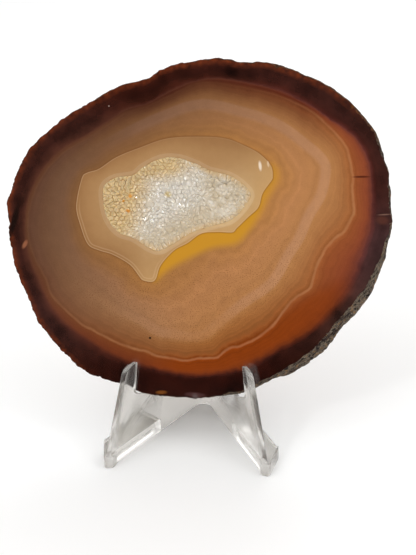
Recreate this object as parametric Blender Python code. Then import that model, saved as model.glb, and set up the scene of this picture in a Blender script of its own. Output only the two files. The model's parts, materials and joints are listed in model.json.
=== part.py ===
"""Agate slice with a crystal-lined pocket, leaning on a clear moulded easel.

The slice is drawn flat, in millimetres: u runs to the right and v runs up its polished face, both
from a point low between the easel's prongs. It is then leaned back on the easel.
"""

import math
import random

import bmesh
import bpy
from mathutils import Matrix, Vector, noise

MM = 0.001
GAP = 0.3

# Agate slice: a cut across a nodule, 98 mm wide and 87 mm high
SLICE_THICKNESS = 6.0
SLICE_LEAN = 16.0
FACE_SETBACK = 24.3
FACE_HEIGHT = 16.25
SLICE_OUTLINE = (
    (50.4, 46.0), (49.8, 51.5), (48.8, 59.0), (46.0, 67.5), (42.8, 71.9), (38.3, 76.2),
    (33.8, 79.6), (26.0, 83.0), (18.5, 85.4), (12.5, 85.4), (6.0, 86.2), (0.0, 85.5),
    (-6.5, 84.1), (-12.2, 81.2), (-18.1, 79.5), (-25.0, 76.0), (-30.2, 72.9), (-36.3, 68.9),
    (-41.5, 64.1), (-45.1, 58.1), (-47.5, 52.6), (-48.4, 48.5), (-48.1, 42.0), (-46.9, 33.9),
    (-43.9, 25.6), (-40.1, 17.7), (-34.8, 11.1), (-29.3, 6.0), (-23.7, 3.6), (-18.0, 2.2),
    (-12.3, 0.1), (-4.0, -0.8), (4.0, -0.4), (12.0, 1.3), (19.0, 4.8), (25.9, 8.9),
    (32.0, 13.9), (37.0, 20.2), (42.2, 26.6), (46.3, 33.9), (49.2, 41.2),
)
RIM_SAMPLES = 240
RIM_CHIP = 0.3
RIM_DEPTHS = (0.0, 0.35, 1.9, 3.6, 5.3, 6.0)
RIM_LUMPS = ((7.0, 0.3), (2.4, 0.35))
# The nodule's skin widens towards the back low on the right: direction in degrees, widening in mm
RIM_FLARE = ((-100.0, 0.2), (-70.0, 1.9), (-45.0, 3.0), (-20.0, 2.7), (5.0, 0.2))
FACE_CENTRE = (0.0, 43.0)

# Pocket in the middle of the face, and the crust of quartz points that lines it
POCKET_OUTLINE = (
    (-22.8, 54.0), (-20.0, 56.2), (-15.0, 57.2), (-12.5, 59.2), (-8.0, 61.4), (-3.5, 61.6),
    (1.0, 60.2), (4.5, 58.6), (9.5, 57.4), (13.0, 55.2), (15.0, 52.5), (13.0, 48.8),
    (10.0, 46.0), (5.0, 44.4), (0.0, 42.6), (-4.5, 39.8), (-8.0, 37.8), (-11.0, 38.4),
    (-15.0, 40.8), (-19.0, 42.2), (-21.8, 45.5), (-23.0, 50.0),
)
POCKET_SAMPLES = 72
POCKET_DEPTH = 2.8
CRYSTAL_PITCH = 1.45
CRYSTAL_JITTER = 0.26
CRYSTAL_HEIGHT = (0.45, 1.0)
CRUST_EDGE_DEPTH = 0.75
CRUST_MIDDLE_DEPTH = 1.5
CRUST_BOWL_WIDTH = 6.0
TIP_CLEARANCE = 0.12
CRYSTAL_SEED = 7

# Easel: one moulded sheet folded to a V that opens towards the front, with a foot outside each wing
WALL = 1.1
FOLD_HALF_ANGLE = 28.75
FOLD_APEX = 1.0
FOLD_RADIUS = 2.2
FOLD_STEPS = 8
WING_FRONT = -36.4
SHEET_TIP_BACK = 1.2
PRONG_TOP = 25.3
PRONG_TOP_FRONT = -27.4
PRONG_TOP_BACK = -23.75
PRONG_CORNER = 2.4
SLOT_FRONT = -25.1
SLOT_HEIGHT = 16.8
LEDGE_SLOPE = 29.0
SLOT_CORNERS = (1.8, 0.4)
LEDGE_MARGIN = 0.8
BACK_TOP = 55.0
BACK_CORNER = 3.0
CORNER_STEPS = 6
FOOT_HEIGHT = 3.6
FOOT_WIDTH = 6.7
FOOT_TIP_BACK = 6.6
FOOT_REAR_BACK = 23.0
FOOT_CORNER = 0.9
FOOT_TRIM = 0.4
PAD_BULGE = 0.6
PAD_TIP_BACK = 1.6
PAD_REAR_BACK = 6.5
CUTTER_REACH = 40.0


def material(name, color, roughness, transmission=0.0, ior=1.5):
    """A material with one Principled shader."""
    made = bpy.data.materials.new(name)
    made.use_nodes = True
    shader = made.node_tree.nodes["Principled BSDF"]
    shader.inputs["Base Color"].default_value = (*color, 1.0)
    shader.inputs["Roughness"].default_value = roughness
    shader.inputs["Metallic"].default_value = 0.0
    shader.inputs["Transmission Weight"].default_value = transmission
    shader.inputs["IOR"].default_value = ior
    return made


def add_object(name, bm, surface=None):
    """Turn a bmesh into an object of the scene, with its faces pointing out."""
    bmesh.ops.recalc_face_normals(bm, faces=bm.faces)
    mesh = bpy.data.meshes.new(name)
    bm.to_mesh(mesh)
    bm.free()
    obj = bpy.data.objects.new(name, mesh)
    bpy.context.scene.collection.objects.link(obj)
    if surface:
        mesh.materials.append(surface)
    return obj


def cut(target, operation, tool):
    """Combine an object with a tool by a Boolean, and keep the tool out of the model."""
    step = target.modifiers.new(operation.title() + " " + tool.name, "BOOLEAN")
    step.operation = operation
    step.solver = "EXACT"
    step.object = tool
    tool.hide_render = True
    tool.display_type = "WIRE"
    tool.parent = target.parent


def smooth_loop(points, count):
    """Evenly spaced points on a smooth closed curve through the given ones."""
    steps = 24
    dense = []
    total = len(points)
    for i in range(total):
        a, b, c, d = (Vector(points[(i + k) % total]) for k in (-1, 0, 1, 2))
        rise = c - a
        curve = 2 * a - 5 * b + 4 * c - d
        twist = 3 * b - a - 3 * c + d
        for j in range(steps):
            t = j / steps
            dense.append((2 * b + rise * t + curve * t ** 2 + twist * t ** 3) / 2)
    lengths = [0.0]
    for p, q in zip(dense, dense[1:] + dense[:1]):
        lengths.append(lengths[-1] + (q - p).length)
    loop = []
    k = 0
    for i in range(count):
        goal = lengths[-1] * i / count
        while lengths[k + 1] < goal:
            k += 1
        share = (goal - lengths[k]) / (lengths[k + 1] - lengths[k])
        loop.append(dense[k].lerp(dense[(k + 1) % len(dense)], share))
    return loop


def outward(loop, i):
    """The direction square to a loop at one of its points, away from its middle."""
    run = loop[(i + 1) % len(loop)] - loop[i - 1]
    side = Vector((run.y, -run.x)).normalized()
    return side if side.dot(loop[i] - Vector(FACE_CENTRE)) > 0 else -side


def flare_at(point):
    """How far the skin has widened at the back of the slice, in this direction from its middle."""
    offset = point - Vector(FACE_CENTRE)
    angle = math.degrees(math.atan2(offset.y, offset.x))
    for (low, start), (high, end) in zip(RIM_FLARE, RIM_FLARE[1:]):
        if low <= angle <= high:
            ease = (1 - math.cos(math.pi * (angle - low) / (high - low))) / 2
            return start + (end - start) * ease
    return RIM_FLARE[0][1]


def rim_ring(loop, depth):
    """One ring of the slice's rough rim, at a depth behind the polished face."""
    ring = []
    for i, point in enumerate(loop):
        grow = flare_at(point) * depth / SLICE_THICKNESS
        if depth in (RIM_DEPTHS[0], RIM_DEPTHS[-1]):
            grow -= RIM_CHIP
        place = Vector((point.x, depth, point.y))
        grow += sum(height * noise.noise(place / pitch) for pitch, height in RIM_LUMPS)
        ring.append(point + outward(loop, i) * grow)
    return ring


def wing_point(y, out, back=0.0):
    """Plan position on the right wing: at a depth on its inner face, out from it and back along it."""
    a = math.radians(FOLD_HALF_ANGLE)
    along = (FOLD_APEX - y) / math.cos(a) - back
    x = along * math.sin(a) + out * math.cos(a)
    return Vector((x, FOLD_APEX - along * math.cos(a) + out * math.sin(a)))


def lean_point(v, depth):
    """Side position of a point of the slice: up its face, and back from it."""
    a = math.radians(SLICE_LEAN)
    y = -FACE_SETBACK + v * math.sin(a) + depth * math.cos(a)
    return Vector((y, FACE_HEIGHT + v * math.cos(a) - depth * math.sin(a)))


def ledge_v(depth):
    """How high the ledges are on the scale of the face, at a depth behind it."""
    a = math.radians(SLICE_LEAN)
    ahead = SLOT_FRONT + FACE_SETBACK
    above = SLOT_HEIGHT - FACE_HEIGHT
    front_v = ahead * math.sin(a) + above * math.cos(a)
    front_depth = ahead * math.cos(a) - above * math.sin(a)
    return front_v - (depth - front_depth) * math.tan(math.radians(LEDGE_SLOPE - SLICE_LEAN))


def resting_lift(rings):
    """How far the slice moves up its face so that it just clears the ledges it rests on."""
    rises = []
    for ring, depth in zip(rings, RIM_DEPTHS):
        y = lean_point(0.0, depth).x
        inner = wing_point(y, -LEDGE_MARGIN).x
        outer = wing_point(y, WALL + LEDGE_MARGIN).x
        over_ledge = [p.y for p in ring if inner < abs(p.x) < outer and p.y < FACE_CENTRE[1]]
        rises.append(ledge_v(depth) + GAP - min(over_ledge))
    return max(rises)


def skin(rings):
    """A closed mesh over a stack of rings of 3D points, in millimetres, with flat ends."""
    bm = bmesh.new()
    levels = [[bm.verts.new(Vector(p) * MM) for p in ring] for ring in rings]
    for low, high in zip(levels, levels[1:]):
        for i in range(len(low)):
            j = (i + 1) % len(low)
            bm.faces.new((low[i], low[j], high[j], high[i]))
    bm.faces.new(list(reversed(levels[0])))
    bm.faces.new(levels[-1])
    return bm


def rounded(points, radii):
    """A closed outline with each corner rounded to its own radius, or left sharp at none."""
    out = []
    total = len(points)
    for i, corner in enumerate(points):
        corner = Vector(corner)
        to_last = Vector(points[i - 1]) - corner
        to_next = Vector(points[(i + 1) % total]) - corner
        r = radii[i]
        if r == 0.0:
            out.append(corner)
            continue
        half = to_last.angle(to_next) / 2
        reach = r / math.tan(half)
        start = corner + to_last.normalized() * reach
        middle = corner + (to_last.normalized() + to_next.normalized()).normalized() * r / math.sin(half)
        first = start - middle
        sweep = math.pi - 2 * half
        turn = -1 if to_last.cross(to_next) > 0 else 1
        for k in range(CORNER_STEPS + 1):
            a = turn * sweep * k / CORNER_STEPS
            spun = Vector((first.x * math.cos(a) - first.y * math.sin(a),
                           first.x * math.sin(a) + first.y * math.cos(a)))
            out.append(middle + spun)
    return out


def leaned(lift):
    """Where the slice goes: leaned back from the ledges, and moved up its face by the lift."""
    tilt = Matrix.Rotation(math.radians(-SLICE_LEAN), 4, "X")
    foot = Matrix.Translation(Vector((0.0, -FACE_SETBACK, FACE_HEIGHT)) * MM)
    return foot @ tilt @ Matrix.Translation(Vector((0.0, 0.0, lift)) * MM)


def make_slice(base):
    """The agate itself: two flat polished faces, a rough rim, and a pocket open to the front."""
    loop = smooth_loop(SLICE_OUTLINE, RIM_SAMPLES)
    rings = [rim_ring(loop, depth) for depth in RIM_DEPTHS]
    place = leaned(resting_lift(rings))
    bm = skin([[(p.x, depth, p.y) for p in ring] for ring, depth in zip(rings, RIM_DEPTHS)])
    agate = material("agate", (0.24, 0.10, 0.04), 0.25)
    stone = add_object("agate_slice", bm, agate)
    stone.parent = base
    stone.matrix_local = place

    pocket = smooth_loop(POCKET_OUTLINE, POCKET_SAMPLES)
    hollow = skin([[(p.x, depth, p.y) for p in pocket] for depth in (-1.0, POCKET_DEPTH)])
    cutter = add_object("pocket_cutter", hollow)
    cut(stone, "DIFFERENCE", cutter)
    cutter.matrix_local = place
    return stone, place


def inside(point, loop):
    """Whether a point is inside a closed loop."""
    hit = False
    for p, q in zip(loop, loop[1:] + loop[:1]):
        if (p.y > point.y) != (q.y > point.y):
            if point.x < p.x + (point.y - p.y) * (q.x - p.x) / (q.y - p.y):
                hit = not hit
    return hit


def wall_distance(point, loop):
    """Distance from a point to a closed loop."""
    best = 1e9
    for p, q in zip(loop, loop[1:] + loop[:1]):
        run = q - p
        t = max(0.0, min(1.0, (point - p).dot(run) / run.length_squared))
        best = min(best, (point - p - run * t).length)
    return best


def honeycomb(loop, draw):
    """Six-sided cells with shared, shifted corners, inside a loop: each cell's middle and corners."""
    side = CRYSTAL_PITCH / math.sqrt(3)
    middle = sum(loop, Vector((0.0, 0.0))) / len(loop)
    reach = max((p - middle).length for p in loop)
    columns = math.ceil(reach / CRYSTAL_PITCH)
    rows = math.ceil(reach / (1.5 * side))
    corners = {}
    cells = []
    for row in range(-rows, rows + 1):
        for column in range(-columns, columns + 1):
            centre = middle + Vector((CRYSTAL_PITCH * (column + 0.5 * (row % 2)), 1.5 * side * row))
            keys = []
            for k in range(6):
                a = math.radians(30 + 60 * k)
                spot = centre + Vector((math.cos(a), math.sin(a))) * side
                key = (round(spot.x * 4), round(spot.y * 4))
                if key not in corners:
                    shift = Vector((draw.uniform(-1, 1), draw.uniform(-1, 1)))
                    corners[key] = spot + shift * CRYSTAL_JITTER
                keys.append(key)
            if all(inside(corners[k], loop) and wall_distance(corners[k], loop) > GAP for k in keys):
                cells.append((centre, keys))
    return cells, corners


def bowl(point, loop):
    """Depth of the valleys between crystals, least along the pocket's edge."""
    share = min(1.0, wall_distance(point, loop) / CRUST_BOWL_WIDTH)
    return CRUST_EDGE_DEPTH + (CRUST_MIDDLE_DEPTH - CRUST_EDGE_DEPTH) * share


def make_crust(base, place):
    """The quartz crust: six-sided points grown side by side, joined in one solid that lines the pocket."""
    draw = random.Random(CRYSTAL_SEED)
    loop = smooth_loop(POCKET_OUTLINE, POCKET_SAMPLES)
    cells, corners = honeycomb(loop, draw)
    bm = bmesh.new()
    valley = {}
    for centre, keys in cells:
        for key in keys:
            if key not in valley:
                spot = corners[key]
                valley[key] = bm.verts.new(Vector((spot.x, bowl(spot, loop), spot.y)) * MM)
        tip = centre + Vector((draw.uniform(-1, 1), draw.uniform(-1, 1))) * CRYSTAL_JITTER
        depth = max(TIP_CLEARANCE, bowl(centre, loop) - draw.uniform(*CRYSTAL_HEIGHT))
        top = bm.verts.new(Vector((tip.x, depth, tip.y)) * MM)
        for a, b in zip(keys, keys[1:] + keys[:1]):
            bm.faces.new((top, valley[a], valley[b]))
    rim = [edge for edge in bm.edges if edge.is_boundary]
    skirt = bmesh.ops.extrude_edge_only(bm, edges=rim)["geom"]
    for item in skirt:
        if isinstance(item, bmesh.types.BMVert):
            item.co.y = (POCKET_DEPTH - GAP) * MM
    lower = [edge for edge in bm.edges if edge.is_boundary]
    bmesh.ops.triangle_fill(bm, edges=lower, use_beauty=True)
    quartz = material("quartz_crust", (0.78, 0.72, 0.60), 0.2)
    crust = add_object("druzy_crust", bm, quartz)
    crust.parent = base
    crust.matrix_local = place
    return crust


def easel_plan():
    """Plan of the folded sheet: its outer face round the fold, then its inner face back."""
    a = math.radians(FOLD_HALF_ANGLE)
    turn = math.pi / 2 - a
    middle = Vector((0.0, FOLD_APEX - FOLD_RADIUS / math.sin(a)))

    def arc(radius, sign):
        """Points round the fold, from one wing to the other."""
        steps = range(FOLD_STEPS + 1)
        angles = [sign * turn * (1 - 2 * k / FOLD_STEPS) for k in steps]
        return [middle + Vector((math.sin(t), math.cos(t))) * radius for t in angles]

    right_in = wing_point(WING_FRONT, 0.0, back=SHEET_TIP_BACK)
    right_out = wing_point(WING_FRONT, WALL, back=SHEET_TIP_BACK)
    outer = [right_out, *arc(FOLD_RADIUS + WALL, 1), Vector((-right_out.x, right_out.y))]
    inner = [Vector((-right_in.x, right_in.y)), *arc(FOLD_RADIUS, -1), right_in]
    return outer + inner


def easel_profile():
    """Side profile of the easel: prong at the front, slot for the slice, and the leaning back."""
    back_face = SLICE_THICKNESS + GAP
    ledge_back = lean_point(ledge_v(back_face), back_face)
    rise = (BACK_TOP - ledge_back.y) / math.cos(math.radians(SLICE_LEAN))
    back_top = lean_point(ledge_v(back_face) + rise, back_face)
    outline = (
        (WING_FRONT, -1.0),
        (WING_FRONT, 0.0),
        (PRONG_TOP_FRONT, PRONG_TOP),
        (PRONG_TOP_BACK, PRONG_TOP),
        (SLOT_FRONT, SLOT_HEIGHT),
        tuple(ledge_back),
        tuple(back_top),
        (CUTTER_REACH, BACK_TOP),
        (CUTTER_REACH, -1.0),
    )
    radii = (0.0, 0.0, PRONG_CORNER, 0.0, *SLOT_CORNERS, BACK_CORNER, 0.0, 0.0)
    return rounded(outline, radii)


def foot_outline(trim):
    """Plan of the right foot, with its outer edges drawn in by a trim."""
    bite = WALL / 2
    corners = (
        wing_point(WING_FRONT, bite, back=PAD_REAR_BACK),
        wing_point(WING_FRONT, -PAD_BULGE, back=PAD_TIP_BACK),
        wing_point(WING_FRONT, WALL),
        wing_point(WING_FRONT, FOOT_WIDTH - trim, back=FOOT_TIP_BACK),
        wing_point(WING_FRONT, FOOT_WIDTH - trim, back=FOOT_REAR_BACK - trim),
        wing_point(WING_FRONT, bite, back=FOOT_REAR_BACK - trim),
    )
    return rounded(corners, (0.0, FOOT_CORNER, FOOT_CORNER, FOOT_CORNER, FOOT_CORNER, 0.0))


def make_easel(base):
    """The clear easel: the folded sheet with a foot outside each wing, cut to its side profile."""
    clear = material("clear_plastic", (0.93, 0.94, 0.93), 0.06, transmission=1.0, ior=1.49)
    plan = easel_plan()
    sheet = skin([[(p.x, p.y, z) for p in plan] for z in (0.0, BACK_TOP)])
    easel = add_object("display_stand", sheet, clear)
    easel.parent = base

    levels = ((0.0, 0.0), (FOOT_HEIGHT - FOOT_TRIM, 0.0), (FOOT_HEIGHT, FOOT_TRIM))
    for name, sign in (("right_foot", 1), ("left_foot", -1)):
        foot = skin([[(sign * p.x, p.y, z) for p in foot_outline(trim)] for z, trim in levels])
        cut(easel, "UNION", add_object(name, foot))

    profile = easel_profile()
    slab = skin([[(x, p.x, p.y) for p in profile] for x in (-CUTTER_REACH, CUTTER_REACH)])
    cut(easel, "INTERSECT", add_object("profile_cutter", slab))
    return easel


def world_bounds(objects):
    """Lowest and highest corners of some objects as they are evaluated."""
    graph = bpy.context.evaluated_depsgraph_get()
    spots = []
    for obj in objects:
        seen = obj.evaluated_get(graph)
        spots += [seen.matrix_world @ v.co for v in seen.data.vertices]
    low = Vector([min(p[k] for p in spots) for k in range(3)])
    high = Vector([max(p[k] for p in spots) for k in range(3)])
    return low, high


def build():
    """Make the three pieces, then put the origin under the middle of them."""
    for obj in list(bpy.data.objects):
        bpy.data.objects.remove(obj)
    base = bpy.data.objects.new("base", None)
    bpy.context.scene.collection.objects.link(base)

    stone, place = make_slice(base)
    pieces = [stone, make_crust(base, place), make_easel(base)]
    bpy.context.view_layer.update()
    low, high = world_bounds(pieces)
    base.location = (-(low.x + high.x) / 2, -(low.y + high.y) / 2, -low.z)


build()
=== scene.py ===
"""Looks of an agate slice that leans in a clear plastic easel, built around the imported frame."""

import json
import math
import random

import bmesh
import bpy
import numpy as np
from mathutils import Matrix, Vector, noise

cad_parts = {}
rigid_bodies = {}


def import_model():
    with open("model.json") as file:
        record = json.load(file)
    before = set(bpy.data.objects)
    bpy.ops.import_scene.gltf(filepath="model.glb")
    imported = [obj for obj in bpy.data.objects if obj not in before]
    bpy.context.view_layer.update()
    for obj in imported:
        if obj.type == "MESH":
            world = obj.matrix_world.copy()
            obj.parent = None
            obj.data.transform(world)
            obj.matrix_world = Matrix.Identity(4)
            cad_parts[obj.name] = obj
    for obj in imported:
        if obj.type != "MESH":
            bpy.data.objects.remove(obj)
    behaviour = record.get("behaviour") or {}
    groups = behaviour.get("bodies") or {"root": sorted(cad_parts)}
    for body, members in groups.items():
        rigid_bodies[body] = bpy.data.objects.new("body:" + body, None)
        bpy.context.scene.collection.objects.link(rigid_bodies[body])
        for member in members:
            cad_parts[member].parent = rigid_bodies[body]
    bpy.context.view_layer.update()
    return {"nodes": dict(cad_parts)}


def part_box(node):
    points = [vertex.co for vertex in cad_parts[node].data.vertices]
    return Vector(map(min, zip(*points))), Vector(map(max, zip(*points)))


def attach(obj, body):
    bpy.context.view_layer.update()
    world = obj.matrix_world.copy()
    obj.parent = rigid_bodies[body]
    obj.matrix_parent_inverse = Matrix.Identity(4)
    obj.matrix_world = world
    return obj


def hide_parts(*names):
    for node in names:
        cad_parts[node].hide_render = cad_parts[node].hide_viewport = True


for leftover in list(bpy.data.objects):
    bpy.data.objects.remove(leftover)
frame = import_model()

# Easel
# One thin sheet of clear plastic, moulded as a V with a notch in each wing for the stone and a
# flat foot outside each wing. Its edges are slightly rounded, and it has faint marks of its flow.
MM = 0.001
MERGE_DISTANCE = 0.002
FLAT_ANGLE = 1.5
EDGE_ROUNDING = 0.16
EDGE_SEGMENTS = 3
EDGE_ANGLE = 36.0
SMOOTH_ANGLE = 40.0
PLASTIC_TINT = (0.82, 0.8, 0.765, 1.0)
PLASTIC_ROUGHNESS = (0.14, 0.19)
PLASTIC_IOR = 1.49
FLOW_SIZE = 4.0
FLOW_CONTRAST = 0.9
FLOW_DEPTH = 0.2


def only(obj):
    """Select one object and make it active, with nothing else selected."""
    for other in bpy.context.selected_objects:
        other.select_set(False)
    obj.select_set(True)
    bpy.context.view_layer.objects.active = obj


def add_node(tree, kind, inputs=None, **settings):
    """Add a shader node, give it its settings, and set or link its inputs by name or number."""
    made = tree.nodes.new(kind)
    for name, value in settings.items():
        setattr(made, name, value)
    for key, value in (inputs or {}).items():
        if isinstance(value, bpy.types.NodeSocket):
            tree.links.new(value, made.inputs[key])
        else:
            made.inputs[key].default_value = value
    return made


def new_material(name):
    """A material with an empty node tree but for its Principled shader and its output."""
    made = bpy.data.materials.new(name)
    made.use_nodes = True
    return made, made.node_tree, made.node_tree.nodes["Principled BSDF"]


def make_mottle():
    """A node group that turns a place into a soft cloudy value round 0.5, for wear and grain."""
    group = bpy.data.node_groups.new("mottle", "ShaderNodeTree")
    group.interface.new_socket("Place", in_out="INPUT", socket_type="NodeSocketVector")
    group.interface.new_socket("Size", in_out="INPUT", socket_type="NodeSocketFloat")
    group.interface.new_socket("Contrast", in_out="INPUT", socket_type="NodeSocketFloat")
    group.interface.new_socket("Value", in_out="OUTPUT", socket_type="NodeSocketFloat")
    given = add_node(group, "NodeGroupInput")
    scale = add_node(group, "ShaderNodeMath", {0: 1.0, 1: given.outputs["Size"]}, operation="DIVIDE")
    cloud = add_node(group, "ShaderNodeTexNoise", {
        "Vector": given.outputs["Place"], "Scale": scale.outputs[0], "Detail": 4.0})
    centred = add_node(group, "ShaderNodeMath", {0: cloud.outputs["Fac"], 1: 0.5}, operation="SUBTRACT")
    spread = add_node(group, "ShaderNodeMath", {
        0: centred.outputs[0], 1: given.outputs["Contrast"], 2: 0.5}, operation="MULTIPLY_ADD")
    add_node(group, "NodeGroupOutput", {0: spread.outputs[0]})
    return group


MOTTLE = make_mottle()


def mottle(tree, place, size, contrast):
    """Use the mottle group in a material: its value at a place."""
    used = add_node(tree, "ShaderNodeGroup", node_tree=MOTTLE)
    tree.links.new(place, used.inputs["Place"])
    used.inputs["Size"].default_value = size
    used.inputs["Contrast"].default_value = contrast
    return used.outputs[0]


def easel_mesh():
    """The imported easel's faces, merged back to whole flat faces."""
    easel = bpy.data.objects.new("clear_easel", frame["nodes"]["display_stand"].data.copy())
    bpy.context.scene.collection.objects.link(easel)
    only(easel)
    bpy.ops.mesh.customdata_custom_splitnormals_clear()
    bpy.ops.object.mode_set(mode="EDIT")
    bpy.ops.mesh.select_all(action="SELECT")
    bpy.ops.mesh.remove_doubles(threshold=MERGE_DISTANCE * MM)
    bpy.ops.mesh.dissolve_limited(angle_limit=math.radians(FLAT_ANGLE))
    bpy.ops.object.mode_set(mode="OBJECT")
    rounding = easel.modifiers.new("rounded edges", "BEVEL")
    rounding.width = EDGE_ROUNDING * MM
    rounding.segments = EDGE_SEGMENTS
    rounding.angle_limit = math.radians(EDGE_ANGLE)
    rounding.use_clamp_overlap = False
    bpy.ops.object.modifier_apply(modifier=rounding.name)
    bpy.ops.object.shade_smooth_by_angle(angle=math.radians(SMOOTH_ANGLE))
    return easel


def clear_plastic():
    """Clear moulded plastic: see-through, a little gray in its thickness, with faint flow marks."""
    made, tree, shader = new_material("clear moulded plastic")
    place = add_node(tree, "ShaderNodeTexCoord").outputs["Object"]
    flow = mottle(tree, place, FLOW_SIZE * MM, FLOW_CONTRAST)
    low, high = PLASTIC_ROUGHNESS
    rough = add_node(tree, "ShaderNodeMapRange", {"Value": flow, "To Min": low, "To Max": high})
    bump = add_node(tree, "ShaderNodeBump", {
        "Height": flow, "Strength": 0.02, "Distance": FLOW_DEPTH * MM})
    tree.links.new(rough.outputs["Result"], shader.inputs["Roughness"])
    tree.links.new(bump.outputs["Normal"], shader.inputs["Normal"])
    shader.inputs["Base Color"].default_value = PLASTIC_TINT
    shader.inputs["Transmission Weight"].default_value = 1.0
    shader.inputs["IOR"].default_value = PLASTIC_IOR
    return made


easel = easel_mesh()
easel.data.materials.clear()
easel.data.materials.append(clear_plastic())
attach(easel, "root")
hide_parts("display_stand")

# Agate slice
# A thin slice sawn across an agate nodule and polished on both faces. Layers of chalcedony follow
# the nodule's rough skin inwards to a pale core, where a hollow was left and crystals grew.
SLICE_THICKNESS = 6.0
SLICE_LEAN = 16.0
FACE_FROM_EASEL_FRONT = 11.36
FACE_HEIGHT = 16.25
FACE_CENTRE = (0.0, 43.0)
STATIONS = 720
RIM = (
    (50.4, 46.0), (49.8, 51.5), (48.8, 59.0), (46.0, 67.5), (42.8, 71.9), (38.3, 76.2),
    (33.8, 79.6), (26.0, 83.0), (18.5, 85.4), (12.5, 85.4), (6.0, 86.2), (0.0, 85.5),
    (-6.5, 84.1), (-12.2, 81.2), (-18.1, 79.5), (-25.0, 76.0), (-30.2, 72.9), (-36.3, 68.9),
    (-41.5, 64.1), (-45.1, 58.1), (-47.5, 52.6), (-48.4, 48.5), (-48.1, 42.0), (-46.9, 33.9),
    (-43.9, 25.6), (-40.1, 17.7), (-34.8, 11.1), (-29.3, 6.0), (-23.7, 3.6), (-18.0, 2.2),
    (-12.3, 0.1), (-4.0, -0.8), (4.0, -0.4), (12.0, 1.3), (19.0, 4.8), (25.9, 8.9),
    (32.0, 13.9), (37.0, 20.2), (42.2, 26.6), (46.3, 33.9), (49.2, 41.2),
)
RIM_LUMPS = ((7.0, 0.3), (2.4, 0.35))
RIM_GRAIN = ((1.3, 0.34), (0.6, 0.34))
RIM_FLARE = ((-100.0, 0.2), (-70.0, 1.9), (-45.0, 3.0), (-20.0, 2.7), (5.0, 0.2))
RIM_DEPTHS = (0.12, 0.35, 0.7, 1.1, 1.6, 2.1, 2.6, 3.1, 3.6, 4.1, 4.6, 5.0, 5.4, 5.7, 5.88)
CHIP_PITCH = 3.2
CHIP_START = 0.16
CHIP_SIZE = 3.4
CHIP_SLOPE = 0.9
CHIP_BREAKS = 3.1
CHIP_SHIFT = Vector((7.0, 3.0, 5.0))
FRONT_CHIPS = 0.0
BACK_CHIPS = 10.0
EDGE_WEAR = 0.12
HOLLOW = (
    (-22.8, 54.0), (-20.0, 56.2), (-15.0, 57.2), (-12.5, 59.2), (-8.0, 61.4), (-3.5, 61.6),
    (1.0, 60.2), (4.5, 58.6), (9.5, 57.4), (13.0, 55.2), (15.0, 52.5), (13.0, 48.8),
    (10.0, 46.0), (5.0, 44.4), (0.0, 42.6), (-4.5, 39.8), (-8.0, 37.8), (-11.0, 38.4),
    (-15.0, 40.8), (-19.0, 42.2), (-21.8, 45.5), (-23.0, 50.0),
)
HOLLOW_CENTRE = (-4.5, 49.5)
HOLLOW_STEPS = ((0.0, 2.3), (0.5, 2.3), (0.78, 2.1), (0.88, 1.7), (0.94, 1.1), (0.975, 0.6), (1.0, 0.3))
LIP = 0.8
FACE_RINGS = 46
RING_CROWDING = 1.15
BACK_RINGS = 34
FLOOR_REACH = 0.02
BACK_REACH = 0.995
RIND_REACH = 30.0
RIND_SLOPE = 0.9995
LINE_STEPS = 24
LINE_POINTS = 240

easel_low, easel_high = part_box("display_stand")
FACE_FOOT = Vector((
    (easel_low.x + easel_high.x) / 2,
    easel_low.y + FACE_FROM_EASEL_FRONT * MM,
    FACE_HEIGHT * MM,
))


def closed_line(points, count):
    """Evenly spaced points on a smooth closed line through the given ones."""
    b = np.array(points, float)
    a, c, d = (np.roll(b, shift, axis=0) for shift in (1, -1, -2))
    t = (np.arange(LINE_STEPS) / LINE_STEPS)[:, None, None]
    bends = 2 * b + (c - a) * t + (2 * a - 5 * b + 4 * c - d) * t ** 2 + (3 * b - a - 3 * c + d) * t ** 3
    line = (bends / 2).transpose(1, 0, 2).reshape(-1, 2)
    ring = np.vstack([line, line[:1]])
    length = np.append(0, np.cumsum(np.linalg.norm(np.diff(ring, axis=0), axis=1)))
    goal = np.linspace(0, length[-1], count, endpoint=False)
    return np.column_stack([np.interp(goal, length, ring[:, k]) for k in (0, 1)])


def outward(line):
    """The direction square to a closed line at each of its points, away from its middle."""
    run = np.roll(line, -1, axis=0) - np.roll(line, 1, axis=0)
    side = np.column_stack([run[:, 1], -run[:, 0]]) / np.linalg.norm(run, axis=1)[:, None]
    turned = (side * (line - line.mean(axis=0))).sum() < 0
    return -side if turned else side


def inside_distance(line, spots):
    """How far each spot lies inside a closed line, in millimetres, and below zero outside it."""
    nearest = np.full(len(spots), np.inf)
    within = np.zeros(len(spots), bool)
    for start, end in zip(line, np.roll(line, -1, axis=0)):
        run = end - start
        away = spots - start
        along = np.clip(away @ run / (run @ run), 0, 1)
        nearest = np.minimum(nearest, ((away - along[:, None] * run) ** 2).sum(axis=1))
        level = (start[1] > spots[:, 1]) != (end[1] > spots[:, 1])
        within ^= level & (away[:, 0] * run[1] < away[:, 1] * run[0]) ^ (level & (run[1] < 0))
    return np.where(within, 1, -1) * np.sqrt(nearest)


def flare(line):
    """How far the skin has widened at the back of the slice, at each point of the rim."""
    away = line - FACE_CENTRE
    angle = np.degrees(np.arctan2(away[:, 1], away[:, 0]))
    steps, widths = zip(*RIM_FLARE)
    eased = np.interp(angle, steps, range(len(steps)))
    share = (1 - np.cos(np.pi * (eased % 1))) / 2
    last = len(widths) - 1
    start = np.array(widths)[np.floor(eased).astype(int)]
    end = np.array(widths)[np.minimum(np.floor(eased).astype(int) + 1, last)]
    return start + (end - start) * share


def ripple(line, depth, sizes):
    """Lumps of a few sizes on the rim, at a depth behind the polished face."""
    places = [Vector((u, depth, v)) for u, v in line]
    return np.array([sum(height * noise.noise(p / pitch) for pitch, height in sizes) for p in places])


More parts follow.
